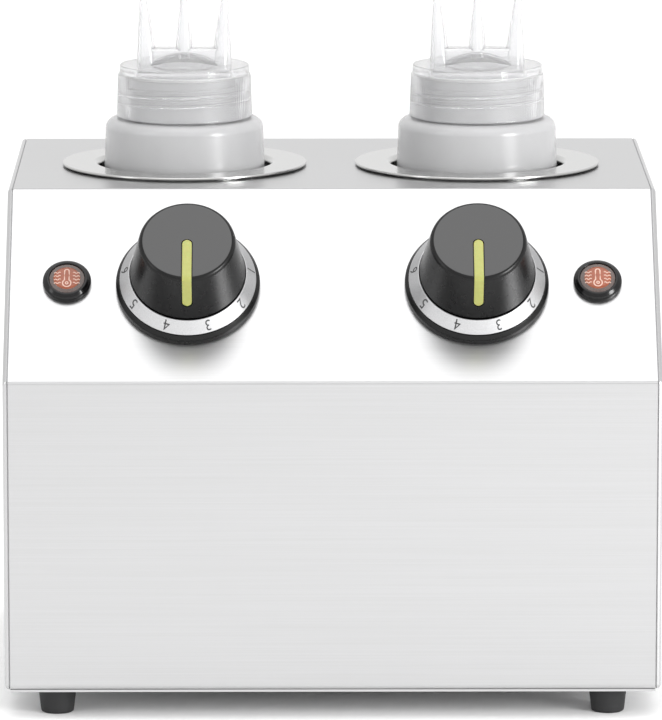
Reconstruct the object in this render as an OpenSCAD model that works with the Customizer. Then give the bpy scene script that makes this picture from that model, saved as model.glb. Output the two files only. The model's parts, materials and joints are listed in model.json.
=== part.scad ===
// Two-bottle heated sauce dispenser: a folded stainless housing with two flanged wells,
// two squeeze bottles with three-nozzle screw caps, two thermostat dials and two heat lamps.
// +Z is up and the control panel faces -Y. The origin is under the middle, on the counter.

/* [Housing] */
// Width of the housing
body_w = 275; // [268:1:300]
// Depth from the lower front to the rear panel
body_d = 226; // [222:1:240]
// Height of the upright lower front
front_h = 131; // [128:0.5:140]
// Rise of the sloping control panel
panel_rise = 71; // [69:1:74]
// Angle of the control panel back from upright
panel_slope = 45; // [43:1:46]
// Thickness of the stainless sheet
sheet_t = 1; // [0.8:0.1:1]
// Outer radius of the sheet bends
bend_r = 2.5; // [2.4:0.1:3]
// Radius of the rounded side edges
edge_r = 2; // [1.6:0.1:2]

/* [Feet] */
// Height of a rubber foot
foot_h = 11.5; // [10:0.5:14]
// Diameter of a foot at its top
foot_top_d = 16.4; // [15:0.2:18]
// Diameter of a foot at the counter
foot_base_d = 13.7; // [12.5:0.1:14.5]
// Distance of a foot's centre from the side
foot_inset_x = 21.5; // [20:0.5:26]
// Distance of a foot's centre from the front or rear
foot_inset_y = 17; // [17:0.5:24]

/* [Wells] */
// Distance of each well from the middle plane
well_x = 63.5; // [60:0.5:68]
// Depth of the well centres behind the lower front
well_y = 141.5; // [140:0.5:146]
// Inner diameter of a well
well_d = 74.4; // [73.4:0.2:75]
// Depth of a well below the top
well_depth = 150; // [140:1:152]
// Diameter of the flange on the top
flange_d = 106; // [100:1:110]

/* [Bottles] */
// Largest diameter of a bottle
bottle_d = 69.4; // [68:0.2:70.4]
// Height of the bottle's shoulder above the top
shoulder_up = 20.9; // [19:0.1:24]
// Outer diameter of the neck
neck_d = 51; // [50:0.5:52]
// Wall of the squeeze bottle
bottle_wall = 1.2; // [1:0.1:1.5]
// Pitch of the neck thread
thread_pitch = 4; // [3.5:0.5:5]
// Turns of the neck thread
thread_turns = 1.5; // [1.25:0.25:1.5]

/* [Caps] */
// Diameter of the cap at its bottom edge
cap_d = 58.8; // [58.4:0.2:60]
// Diameter of the cap at its top edge
cap_top_d = 55.9; // [55.4:0.2:57]
// Distance between neighbouring nozzle tips
nozzle_pitch = 17.6; // [16:0.2:18]
// Height of the nozzles above the manifold
nozzle_h = 20.9; // [18:0.1:22]
// Outward lean of the two outer nozzles
nozzle_lean = 3.3; // [0:0.1:4]

/* [Controls] */
// Distance of each knob from the middle plane
knob_x = 60.6; // [58:0.2:64]
// Distance of each lamp from the middle plane
lamp_x = 111.4; // [110:0.2:118]
// Height of the controls up the slope from the lower bend
control_t = 49.5; // [46:0.5:51]
// Height of each lamp up the slope above the knobs' level
lamp_up = 1.5; // [0:0.5:3]
// Diameter of the black dial skirt
skirt_d = 60.5; // [58:0.5:62]
// Diameter of the knob at its lower edge
knob_d = 48.4; // [48:0.1:48.6]
// Diameter of the knob at its rim
knob_rim_d = 40.2; // [38:0.2:42]
// Height of the knob's face above the panel
knob_h = 32.3; // [30:0.1:34]
// Width of the pointer bar
pointer_w = 3.9; // [3:0.1:4.5]

/* [Hidden] */

$fn = 96;
eps = 0.01;

// Colours
steel = "#d9dadb";
black = "#2b2b2c";
clear_plastic = "#d5d6d8";
lime = "#c9cb6e";
amber = "#b5714a";
zinc = "#b9bcc0";
brass = "#c8a24a";

// Heights and the side outline of the folded sheet, as [depth, height]
base_z = foot_h + sheet_t;
bend_z = base_z + front_h;
top_z = bend_z + panel_rise;
panel_run = panel_rise * tan(panel_slope);
shell_d = body_d - sheet_t;
OUTLINE = [[0, base_z], [0, bend_z], [panel_run, top_z], [shell_d, top_z], [shell_d, base_z]];

// Housing details
seam_x = body_w / 2 - edge_r;
bend_steps = 8;
edge_steps = 5;
seam_gap = 0.1;
fit_gap = 0.05;
front_lip = 12;
rear_lip = 16;
side_flange = 10;
screw_r = 1.95;
screw_hole_r = 2;
screw_head_r = 3.6;
screw_head_h = 2.4;
side_screw_x = seam_x - side_flange / 2;
rear_screw_z = [40, 110, 180];
base_screw_y = [40, 113, 186];
slot_w = 3;
slot_l = 40;

// Well details
well_r = well_d / 2;
seat_h = 0.8;
lip_r = 2.5;
floor_z = top_z - well_depth;
flange_z = top_z + seat_h;
top_hole_r = well_r + lip_r + 0.8;
heater_r = well_r + sheet_t + 0.1;
heater_t = 3;
heater_z = [75, 135];
heater_ear = [1.5, 12, 50];
heater_gap = 8;
sensor_r = 3;
sensor_z = [142, 190];

// Bottle and cap details
body_gap = 0.3;
bottle_r = bottle_d / 2;
bottle_z = floor_z + body_gap;
shoulder_z = top_z + shoulder_up;
shoulder_r = 4.5;
shoulder_in = 0.6;
bottle_foot_r = 3;
neck_r = neck_d / 2;
rim_z = shoulder_z + 18;
thread_z = shoulder_z + 7;
thread_h = 1;
seal_t = 1.2;
seal_z = rim_z + body_gap;
cap_z = shoulder_z + 0.9;
cap_step_z = cap_z + 18.2;
cap_roof_z = seal_z + seal_t + body_gap;
cap_top_z = cap_z + 22.3;
cap_inner_r = neck_r + 1.5;
dome_r = 15.4;
dome_h = 4.9;
manifold_z = cap_top_z + 7.2;
manifold_w = 7.2;
nozzle_base_r = 3.8;
nozzle_tip_r = 1.6;
nozzle_root = 7.4;

// Control details, as heights above the panel
ring_low = [28.75, 4.6];
ring_high = [24.65, 9.6];
ring_t = 0.7;
knob_base_h = 10;
knob_wall = 2.2;
knob_round = 2;
pointer_proud = 0.25;
pointer_deep = 1;
pointer_end_h = 19;
pointer_slot = 0.3;
spindle_r = 3;
spindle_top = 24;
hub_r = 7;
bush_r = 4.8;
thermostat_box = [34, 34, 28];
thermostat_screw_x = 14;
bracket_t = 1.5;
bezel_r = 10.2;
bezel_h = 3.7;
lens_r = 7.4;
lens_seat_h = 1.2;
lens_top = 4;
barrel_r = 6.4;

// Cable gland on the rear panel
gland_x = -100;
gland_z = 40;
gland_bore_r = 4.2;
gland_r = 8;
gland_out = 5;
gland_cap_l = 14;
gland_in = 14;

// The frame's middle plane, halfway between the foremost pointer and the gland's end
knob_y = control_t * sin(panel_slope);
knob_corner = [knob_rim_d / 2 - knob_round, knob_h - knob_round];
front_y = min(0, knob_y - knob_corner[1] * cos(panel_slope) - knob_corner[0] * sin(panel_slope)
              - knob_round - pointer_proud);
rear_y = body_d + gland_out + gland_cap_l;
mid_y = (front_y + rear_y) / 2;

// ---- Helpers ----

module centred() {
    translate([0, -mid_y, 0]) children();
}

// Extrudes an outline drawn as [depth, height] along X, centred
module along_x(length) {
    rotate([90, 0, 90]) translate([0, 0, -length / 2]) linear_extrude(length) children();
}

// Stands children on the control panel: +Z out of it, +Y up its slope
module on_panel(x) {
    translate([x, control_t * sin(panel_slope), bend_z + control_t * cos(panel_slope)])
        rotate([90 - panel_slope, 0, 0]) children();
}

// Stands its children on the panel at a lamp
module on_lamp(side) {
    on_panel(side * lamp_x) translate([0, lamp_up, 0]) children();
}

// The same place as a point, h out of the panel
function panel_point(x, h) = [x, knob_y - h * cos(panel_slope),
                              bend_z + control_t * cos(panel_slope) + h * sin(panel_slope)];

module on_well(side) {
    translate([side * well_x, well_y, 0]) children();
}

function unit(v) = v / norm(v);
function inward(i) = let (d = unit(OUTLINE[(i + 1) % 5] - OUTLINE[i])) [d[1], -d[0]];
function bend_centre(i) = let (a = inward((i + 4) % 5), b = inward(i))
    OUTLINE[i] + bend_r * (a + b) / (1 + a * b);

// The housing's side outline with round bends, drawn in by inset
function outline_points(inset) = [for (i = [0:4])
    let (from = inward((i + 4) % 5), turn = acos(from * inward(i)))
    for (k = [0:bend_steps])
        let (a = atan2(-from[1], -from[0]) - turn * k / bend_steps)
        bend_centre(i) + (bend_r - inset) * [cos(a), sin(a)]];

module outline(inset) {
    polygon(outline_points(inset));
}

module slot(length, width) {
    square([length - width, width], center = true);
    for (s = [-1, 1]) translate([s * (length - width) / 2, 0]) circle(width / 2);
}

// A pan-head screw with its head on z = 0 and its shank down -Z
module pan_screw(length) {
    difference() {
        union() {
            cylinder(r = screw_head_r, h = screw_head_h * 0.55);
            cylinder(r1 = screw_head_r, r2 = screw_head_r * 0.72, h = screw_head_h);
            translate([0, 0, -length]) cylinder(r = screw_r, h = length + eps);
        }
        for (a = [0, 90]) rotate(a)
            translate([-2, -0.45, screw_head_h - 1.2]) cube([4, 0.9, 2]);
    }
}

module hex_nut(across, height, bore_r) {
    difference() {
        cylinder(r = across / sqrt(3), h = height, $fn = 6);
        translate([0, 0, -1]) cylinder(r = bore_r, h = height + 2);
    }
}

// Faces of a tube made of rings of n points, with closed ends
function tube_faces(rings, n) = concat(
    [[for (j = [0:n - 1]) j]],
    [for (i = [0:rings - 2]) for (j = [0:n - 1])
        [i * n + j, (i + 1) * n + j, (i + 1) * n + (j + 1) % n, i * n + (j + 1) % n]],
    [[for (j = [n - 1:-1:0]) (rings - 1) * n + j]]);

// A round wire through a list of points
module wire(points, r) {
    n = 8;
    last = len(points) - 1;
    rings = [for (i = [0:last])
        let (t = unit(points[min(i + 1, last)] - points[max(i - 1, 0)]),
             u = unit(cross(t, abs(t[0]) > 0.9 ? [0, 1, 0] : [1, 0, 0])),
             v = cross(t, u))
        for (j = [0:n - 1]) points[i] + r * (cos(360 * j / n) * u + sin(360 * j / n) * v)];
    polyhedron(rings, tube_faces(last + 1, n));
}

// A thread ridge from root radius to crest radius, tapering away at both ends
module thread(root, crest, z) {
    steps = 36;
    half_root = 0.8;
    half_crest = 0.45;
    rings = [for (i = [0:steps])
        let (a = 360 * thread_turns * i / steps,
             rise = z + thread_pitch * thread_turns * i / steps,
             fade = min(1, min(i, steps - i) / 3 + 0.25),
             tip = root + (crest - root) * fade)
        for (p = [[root, -half_root], [tip, -half_crest], [tip, half_crest], [root, half_root]])
            [p[0] * cos(a), p[0] * sin(a), rise + p[1]]];
    polyhedron(rings, tube_faces(steps + 1, 4));
}

// ---- Housing ----

module top_holes() {
    for (s = [-1, 1]) on_well(s) translate([0, 0, top_z - 5]) cylinder(r = top_hole_r, h = 10);
}

module panel_holes() {
    for (s = [-1, 1]) {
        on_panel(s * knob_x) {
            translate([0, 0, -3]) cylinder(r = bush_r + 0.2, h = 6);
            for (k = [-1, 1]) translate([k * thermostat_screw_x, 0, -3])
                cylinder(r = screw_hole_r, h = 6);
        }
        on_lamp(s) translate([0, 0, -3]) cylinder(r = barrel_r + 0.1, h = 6);
    }
}

module front_shell() {
    color(steel) centred() difference() {
        along_x(2 * (seam_x - seam_gap)) difference() {
            outline(0);
            outline(sheet_t);
            translate([front_lip, base_z - 1]) square([body_d, 6]);
            translate([shell_d - 5, base_z - 1]) square([10, top_z - base_z + 1 - rear_lip]);
        }
        top_holes();
        panel_holes();
    }
}

// The dished plate of a side panel, from x = start to its rounded outer face.
// drawn_in is how far the outline is drawn in where the plate starts
module pan_solid(start, drawn_in) {
    r = edge_r - drawn_in;
    n = 5 * (bend_steps + 1);
    stations = concat([[start, drawn_in]], [for (k = [0:edge_steps])
        let (a = 90 * k / edge_steps) [seam_x + r * sin(a), edge_r - r * cos(a)]]);
    polyhedron([for (s = stations)
                let (ring = outline_points(s[1])) for (k = [n - 1:-1:0]) [s[0], ring[k][0], ring[k][1]]],
               tube_faces(len(stations), n));
}

module side_panel() {
    difference() {
        union() {
            difference() {
                pan_solid(seam_x - 0.5, 0);
                pan_solid(seam_x - 1, sheet_t);
                translate([seam_x - 50, -10, 0]) cube([50, body_d + 20, top_z + 10]);
            }
            translate([seam_x - side_flange / 2, 0, 0]) along_x(side_flange) difference() {
                outline(sheet_t + fit_gap);
                outline(2 * sheet_t + fit_gap);
            }
            translate([seam_x + 0.4, 0, 0]) along_x(0.8) difference() {
                outline(sheet_t * 0.6);
                outline(2 * sheet_t + fit_gap);
            }
        }
        for (z = rear_screw_z) translate([side_screw_x, shell_d - 6, z])
            rotate([-90, 0, 0]) cylinder(r = screw_hole_r, h = 10);
        for (y = base_screw_y) translate([side_screw_x, y, base_z - 2])
            cylinder(r = screw_hole_r, h = 8);
    }
}

module side_panel_right() {
    color(steel) centred() side_panel();
}

module side_panel_left() {
    color(steel) centred() mirror([1, 0, 0]) side_panel();
}

module rear_panel() {
    slots_z = [70:9:124];
    color(steel) centred() difference() {
        translate([-seam_x, shell_d, base_z + 1])
            cube([2 * seam_x, sheet_t, top_z - base_z - bend_r - 2]);
        for (s = [-1, 1]) {
            for (z = rear_screw_z) translate([s * side_screw_x, shell_d - 2, z])
                rotate([-90, 0, 0]) cylinder(r = screw_hole_r, h = 5);
            for (z = slots_z) translate([s * well_x, shell_d + 3, z])
                rotate([90, 0, 0]) linear_extrude(6) slot(slot_l, slot_w);
        }
        translate([gland_x, shell_d - 2, gland_z]) rotate([-90, 0, 0])
            cylinder(r = gland_r + 0.1, h = 5);
    }
}

module rear_screws() {
    color(zinc) centred() for (s = [-1, 1]) for (z = rear_screw_z)
        translate([s * side_screw_x, body_d, z]) rotate([-90, 0, 0]) pan_screw(8);
}

module base_plate() {
    slots_y = [90:9:162];
    base_x = body_w / 2 - 2.2;
    color(steel) centred() difference() {
        translate([-base_x, 1.6, base_z - sheet_t]) cube([2 * base_x, shell_d - 3.2, sheet_t]);
        for (s = [-1, 1]) {
            for (y = base_screw_y) translate([s * side_screw_x, y, base_z - 3])
                cylinder(r = screw_hole_r, h = 5);
            for (y = slots_y) translate([s * well_x, y, base_z - 3])
                linear_extrude(5) slot(slot_l, slot_w);
            for (y = [foot_inset_y, body_d - foot_inset_y])
                translate([s * (body_w / 2 - foot_inset_x), y, base_z - 3])
                    cylinder(r = screw_hole_r, h = 5);
        }
    }
}

module base_screws() {
    color(zinc) centred() for (s = [-1, 1]) for (y = base_screw_y)
        translate([s * side_screw_x, y, base_z - sheet_t]) rotate([180, 0, 0]) pan_screw(8);
}

module at_foot(sx, rear) {
    translate([sx * (body_w / 2 - foot_inset_x), rear ? body_d - foot_inset_y : foot_inset_y, 0])
        children();
}

module foot(sx, rear) {
    base_round = 1;
    base_r = foot_base_d / 2;
    color(black) centred() at_foot(sx, rear) difference() {
        rotate_extrude() {
            polygon([[0, base_round], [base_r, base_round], [foot_top_d / 2, foot_h], [0, foot_h]]);
            square([base_r - base_round, base_round + eps]);
            translate([base_r - base_round, base_round]) circle(base_round);
        }
        translate([0, 0, -1]) cylinder(r = screw_head_r + 0.6, h = 5);
        translate([0, 0, -1]) cylinder(r = screw_hole_r, h = foot_h + 2);
    }
}

module foot_front_left() { foot(-1, false); }
module foot_front_right() { foot(1, false); }
module foot_rear_left() { foot(-1, true); }
module foot_rear_right() { foot(1, true); }

module foot_screws() {
    color(zinc) centred() for (s = [-1, 1]) for (rear = [false, true])
        at_foot(s, rear) translate([0, 0, 4]) rotate([180, 0, 0]) pan_screw(foot_h + 3);
}

module foot_nuts() {
    color(zinc) centred() for (s = [-1, 1]) for (rear = [false, true])
        at_foot(s, rear) translate([0, 0, base_z]) hex_nut(7, 3.2, screw_hole_r);
}

// ---- Wells and heating ----

module well(side) {
    lip_z = flange_z + sheet_t - lip_r;
    color(steel) centred() on_well(side) rotate_extrude() {
        translate([well_r, floor_z - sheet_t]) square([sheet_t, lip_z - floor_z + sheet_t]);
        translate([0, floor_z - sheet_t]) square([well_r + eps, sheet_t]);
        translate([well_r + lip_r, flange_z]) square([flange_d / 2 - well_r - lip_r, sheet_t]);
        intersection() {
            translate([well_r + lip_r, lip_z]) difference() {
                circle(lip_r);
                circle(lip_r - sheet_t);
            }
            translate([well_r, lip_z]) square(lip_r);
        }
        translate([well_r + lip_r + 2, top_z]) square([3, seat_h + eps]);
    }
}

module well_left() { well(-1); }
module well_right() { well(1); }

// A band heater with its clamp ears behind and its terminal posts in front
module heater(side) {
    outer = heater_r + heater_t;
    height = heater_z[1] - heater_z[0];
    color(zinc) centred() on_well(side) translate([0, 0, heater_z[0]]) {
        difference() {
            cylinder(r = outer, h = height);
            translate([0, 0, -1]) cylinder(r = heater_r, h = height + 2);
            translate([-heater_gap / 2, 0, -1]) cube([heater_gap, 60, height + 2]);
        }
        for (s = [0, 1]) mirror([s, 0, 0]) difference() {
            translate([heater_gap / 2, outer - 2, 5]) cube(heater_ear);
            for (z = [18, 42]) translate([0, outer + 5, z]) rotate([0, 90, 0])
                cylinder(r = screw_hole_r, h = 10);
        }
        for (x = [-8, 8]) translate([x, -outer + 1.5, 14]) rotate([90, 0, 0]) {
            cylinder(r = 3.5, h = 4);
            cylinder(r = 1.5, h = 8);
        }
    }
}

module heater_left() { heater(-1); }
module heater_right() { heater(1); }

module heater_screws(side) {
    outer = heater_r + heater_t;
    color(zinc) centred() on_well(side) for (z = [18, 42])
        translate([heater_gap / 2 + heater_ear[0], outer + 5, heater_z[0] + z]) {
            rotate([0, 90, 0]) pan_screw(16);
            translate([-heater_gap - 2 * heater_ear[0], 0, 0]) rotate([0, -90, 0])
                hex_nut(7, 3.2, screw_hole_r);
        }
}

module heater_screws_left() { heater_screws(-1); }
module heater_screws_right() { heater_screws(1); }

module thermostat(side) {
    back = -sheet_t - bracket_t;
    color(zinc) centred() on_panel(side * knob_x) {
        difference() {
            union() {
                translate([-22, -11, back]) cube([44, 22, bracket_t]);
                translate([-thermostat_box[0] / 2, -thermostat_box[1] / 2, back - thermostat_box[2]])
                    cube(thermostat_box - [0, 0, eps]);
                translate([0, 0, back - eps]) cylinder(r = bush_r, h = 2 - back);
            }
            translate([0, 0, -14]) cylinder(r = spindle_r + fit_gap, h = 20);
            for (k = [-1, 1]) translate([k * thermostat_screw_x, 0, -9])
                cylinder(r = screw_hole_r, h = 12);
        }
        for (x = [-9, 9]) for (y = [-6, 6])
            translate([x - 3.15, y - 0.4, back - thermostat_box[2] - 8]) cube([6.3, 0.8, 8 + eps]);
    }
}

module thermostat_left() { thermostat(-1); }
module thermostat_right() { thermostat(1); }

module thermostat_screws() {
    color(zinc) centred() for (s = [-1, 1]) on_panel(s * knob_x)
        for (k = [-1, 1]) translate([k * thermostat_screw_x, 0, 0]) pan_screw(7);
}

// Capillary tube from the thermostat to a bulb held against the well's front
module sensor(side) {
    bulb_y = well_y - well_r - sheet_t - sensor_r - 0.2;
    start = panel_point(side * (knob_x + 12), -sheet_t - bracket_t - thermostat_box[2] - 0.2);
    x = side * well_x;
    color(brass) centred() {
        translate([x, bulb_y, sensor_z[0]]) cylinder(r = sensor_r, h = sensor_z[1] - sensor_z[0]);
        wire([start, start + [0, 7, -7], [x + side * 14, bulb_y - 22, 132],
              [x + side * 6, bulb_y - 8, 128], [x, bulb_y - 2, 132], [x, bulb_y, 137],
              [x, bulb_y, sensor_z[0] + 1]], 0.9);
    }
}

module sensor_left() { sensor(-1); }
module sensor_right() { sensor(1); }

// ---- Controls ----

module skirt(side) {
    seat = [ring_low[0] - 0.6, ring_low[1] - 0.5];
    crest = [ring_high[0] - 0.6, ring_high[1] - 0.5];
    wall_r = crest[0] - 1.3;
    color(black) centred() on_panel(side * knob_x) rotate_extrude()
        polygon([[wall_r - 3.5, 0], [skirt_d / 2, 0], [skirt_d / 2, 1.2], [skirt_d / 2 - 0.3, 2.4],
                 [skirt_d / 2 - 0.9, 3.5], [ring_low[0] + 0.1, ring_low[1] - 0.5], seat, crest,
                 [wall_r, crest[1]], [wall_r, 2], [wall_r - 3.5, 2]]);
}

module skirt_left() { skirt(-1); }
module skirt_right() { skirt(1); }

module dial(side) {
    along = unit(ring_high - ring_low);
    under = ring_t * [-along[1], along[0]];
    color("#d2d3d4") centred() on_panel(side * knob_x) rotate_extrude()
        polygon([ring_low, ring_high, ring_high + under, ring_low + under]);
}

module dial_left() { dial(-1); }
module dial_right() { dial(1); }

module spindle(side) {
    color(zinc) centred() on_panel(side * knob_x) difference() {
        translate([0, 0, -12]) cylinder(r = spindle_r, h = spindle_top + 12);
        translate([-5, spindle_r - 0.8, 8]) cube([10, 5, 30]);
    }
}

module spindle_left() { spindle(-1); }
module spindle_right() { spindle(1); }

// The knob's outer half section, grown by grow
module knob_section(grow) {
    polygon([[0, knob_base_h], [knob_d / 2 + grow, knob_base_h],
             [knob_rim_d / 2 + grow, knob_corner[1]], [0, knob_corner[1]]]);
    translate(knob_corner) circle(knob_round + grow);
    translate([0, knob_corner[1] - eps])
        square([knob_corner[0], knob_round + grow + eps]);
}

// The pointer's outline from the face's centre, over the rim and down the side
module pointer_track(extra) {
    w = pointer_w / 2 + extra;
    translate([0, 0, 22]) cylinder(r = w, h = 20);
    translate([-w, -40, pointer_end_h + 6]) cube([2 * w, 40, 20]);
    translate([-w, -40, pointer_end_h]) cube([2 * w, 34, 10]);
    translate([0, -6, pointer_end_h]) rotate([90, 0, 0]) cylinder(r = w, h = 34);
}

module knob(side) {
    cavity_top = knob_h - 3;
    color(black) centred() on_panel(side * knob_x) difference() {
        union() {
            difference() {
                rotate_extrude() knob_section(0);
                translate([0, 0, knob_base_h - 1])
                    cylinder(r1 = knob_d / 2 - knob_wall + 0.2, r2 = knob_rim_d / 2 - knob_wall,
                             h = cavity_top - knob_base_h + 1);
            }
            translate([0, 0, 3]) cylinder(r = hub_r, h = cavity_top - 2);
        }
        difference() {
            translate([0, 0, 2]) cylinder(r = spindle_r + 0.02, h = spindle_top - 1.5);
            translate([-5, spindle_r - 0.78, 8.2]) cube([10, 5, 30]);
        }
        intersection() {
            difference() {
                rotate_extrude() knob_section(2);
                rotate_extrude() knob_section(-pointer_deep);
            }
            pointer_track(pointer_slot);
        }
    }
}

module knob_left() { knob(-1); }
module knob_right() { knob(1); }

module pointer(side) {
    color(lime) centred() on_panel(side * knob_x) intersection() {
        difference() {
            rotate_extrude() knob_section(pointer_proud);
            rotate_extrude() knob_section(-pointer_deep);
        }
        pointer_track(0);
    }
}

module pointer_left() { pointer(-1); }
module pointer_right() { pointer(1); }

module lamp_bezel(side) {
    bore = barrel_r - 1;
    color(black) centred() on_lamp(side) rotate_extrude() {
        polygon([[bore, 0], [bezel_r, 0], [bezel_r, 1.2], [bezel_r - 0.4, 2.2],
                 [lens_r + 1.2, bezel_h - 0.4], [lens_r + 0.7, bezel_h],
                 [lens_r + 0.1, bezel_h], [lens_r + 0.1, lens_seat_h], [bore, lens_seat_h]]);
        translate([bore, -16]) square([1, 16 + eps]);
    }
}

module lamp_bezel_left() { lamp_bezel(-1); }
module lamp_bezel_right() { lamp_bezel(1); }

module lamp_lens(side) {
    crown_r = 36;
    color(amber) centred() on_lamp(side) {
        translate([0, 0, -2]) cylinder(r = barrel_r - 1.05, h = 4);
        intersection() {
            translate([0, 0, lens_seat_h + fit_gap]) cylinder(r = lens_r, h = lens_top);
            translate([0, 0, lens_top - crown_r]) sphere(crown_r);
        }
    }
}

module lamp_lens_left() { lamp_lens(-1); }
module lamp_lens_right() { lamp_lens(1); }

module lamp_body(side) {
    color(clear_plastic) centred() on_lamp(side) {
        translate([0, 0, -20]) cylinder(r = barrel_r - 1.05, h = 17.5);
        for (x = [-2.5, 2.5]) translate([x - 0.4, -1.4, -28]) cube([0.8, 2.8, 8 + eps]);
    }
}

module lamp_body_left() { lamp_body(-1); }
module lamp_body_right() { lamp_body(1); }

module lamp_nut(side) {
    color(zinc) centred() on_lamp(side)
        translate([0, 0, -sheet_t - 4]) hex_nut(17, 4, barrel_r + fit_gap);
}

module lamp_nut_left() { lamp_nut(-1); }
module lamp_nut_right() { lamp_nut(1); }

// ---- Rear cable gland, terminals and wiring ----

module at_gland() {
    translate([gland_x, body_d, gland_z]) rotate([-90, 0, 0]) children();
}

module gland_body() {
    color(black) centred() at_gland() difference() {
        union() {
            cylinder(r = 22 / sqrt(3), h = gland_out, $fn = 6);
            translate([0, 0, -gland_in]) cylinder(r = gland_r, h = gland_in + eps);
        }
        translate([0, 0, -gland_in - 1]) cylinder(r = gland_bore_r, h = gland_in + gland_out + 2);
    }
}

module gland_cap() {
    dome = 6;
    cap_r = 10.5;
    color(black) centred() at_gland() translate([0, 0, gland_out]) difference() {
        union() {
            cylinder(r = 22 / sqrt(3), h = 5, $fn = 6);
            cylinder(r = cap_r, h = gland_cap_l - dome);
            translate([0, 0, gland_cap_l - dome]) cylinder(r1 = cap_r, r2 = cap_r - 4, h = dome);
        }
        translate([0, 0, -1]) cylinder(r = gland_bore_r, h = gland_cap_l + 2);
    }
}

module gland_locknut() {
    color(black) centred() at_gland()
        translate([0, 0, -sheet_t - 5]) hex_nut(20, 5, gland_r + fit_gap);
}

block_x = -60;
block_y = 196;
block_size = [38, 14, 16];
post_dx = [-12, 0, 12];

module terminal_block() {
    color("#e8e4d8") centred() translate([block_x, block_y, base_z]) difference() {
        translate([-block_size[0] / 2, -block_size[1] / 2, 0]) cube(block_size);
        for (x = post_dx) {
            translate([x, 0, 6]) cylinder(r = 2.6, h = 20);
            translate([x, -20, 5]) rotate([-90, 0, 0]) cylinder(r = 2, h = 40);
        }
    }
}

module terminal_screws() {
    color(brass) centred() translate([block_x, block_y, base_z])
        for (x = post_dx) translate([x, 0, 7]) difference() {
            cylinder(r = 2.5, h = 6);
            translate([-3, -0.4, 5]) cube([6, 0.8, 2]);
        }
}

module earth_stud() {
    color(brass) centred() translate([-10, block_y, base_z]) {
        cylinder(r = 2.5, h = 14);
        cylinder(r = 8 / sqrt(3), h = 4, $fn = 6);
    }
}

// Conductors to one thermostat, its heater and its lamp
module wiring(side) {
    wire_r = 1;
    back = -sheet_t - bracket_t - thermostat_box[2] - 8.5;
    block_side = side < 0 ? post_dx[0] : post_dx[2];
    blade_in = panel_point(side * (knob_x - 9), back);
    blade_out = panel_point(side * (knob_x + 9), back);
    lamp_end = panel_point(side * lamp_x, -29)
        + lamp_up * [0, sin(panel_slope), cos(panel_slope)];
    post = [side * (well_x + 8), well_y - heater_r - heater_t - 7.5, heater_z[0] + 14];
    color("#e9e9e6") centred() {
        wire([[block_x + block_side, block_y - 7.2, base_z + 5],
              [block_x + block_side, block_y - 20, base_z + 8],
              [side * 40, 120, base_z + 20], [side * 44, 80, base_z + 30],
              [side * (knob_x - 9), blade_in[1] + 8, 110], blade_in - [0, 0, 1.5]], wire_r);
        wire([post + [0, -1, 0], post + [0, -8, 0], post + [0, -16, 12],
              [blade_out[0], blade_out[1] + 4, 126], blade_out - [0, 0, 1.5]], wire_r);
        wire([lamp_end, lamp_end + [0, 6, -6], [side * 108, 78, 120],
              [side * 92, 78, 104], post + [side * 8, -14, 14]], wire_r);
    }
}

module wiring_left() { wiring(-1); }
module wiring_right() { wiring(1); }

// ---- Bottles, seals and caps ----

// Half section of the bottle's body up to the shoulder, drawn in by inset
module bottle_section(inset) {
    r = bottle_r - inset;
    taper_z = top_z + 3;
    round_z = shoulder_z - shoulder_r;
    translate([0, bottle_z + inset]) square([bottle_r - bottle_foot_r, bottle_foot_r]);
    translate([bottle_r - bottle_foot_r, bottle_z + bottle_foot_r]) circle(bottle_foot_r - inset);
    translate([0, bottle_z + bottle_foot_r]) square([r, taper_z - bottle_z - bottle_foot_r]);
    polygon([[0, taper_z - eps], [r, taper_z - eps], [r - shoulder_in, round_z], [0, round_z]]);
    translate([bottle_r - shoulder_in - shoulder_r, round_z]) circle(shoulder_r - inset);
    translate([0, round_z - eps])
        square([bottle_r - shoulder_in - shoulder_r, shoulder_r - inset + eps]);
}

module bottle(side) {
    color(clear_plastic, 0.8) centred() on_well(side) {
        difference() {
            rotate_extrude() {
                bottle_section(0);
                translate([0, shoulder_z - 5]) square([neck_r, rim_z - shoulder_z + 5]);
            }
            rotate_extrude() bottle_section(bottle_wall);
            translate([0, 0, shoulder_z - 6]) cylinder(r = neck_r - 1.5, h = 40);
        }
        thread(neck_r - 0.2, neck_r + thread_h, thread_z);
    }
}

module bottle_left() { bottle(-1); }
module bottle_right() { bottle(1); }

module seal(side) {
    color("#f0f0ee") centred() on_well(side) translate([0, 0, seal_z]) difference() {
        cylinder(r = neck_r + 0.6, h = seal_t);
        translate([0, 0, -1]) cylinder(r = neck_r - 6, h = seal_t + 2);
    }
}

module seal_left() { seal(-1); }
module seal_right() { seal(1); }

// Places a nozzle's children at its root, leaning with it
module at_nozzle(i) {
    lean_in = (nozzle_h + nozzle_root) * tan(nozzle_lean);
    translate([i * (nozzle_pitch - lean_in), 0, manifold_z - nozzle_root])
        rotate([0, i * nozzle_lean, 0]) children();
}

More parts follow.
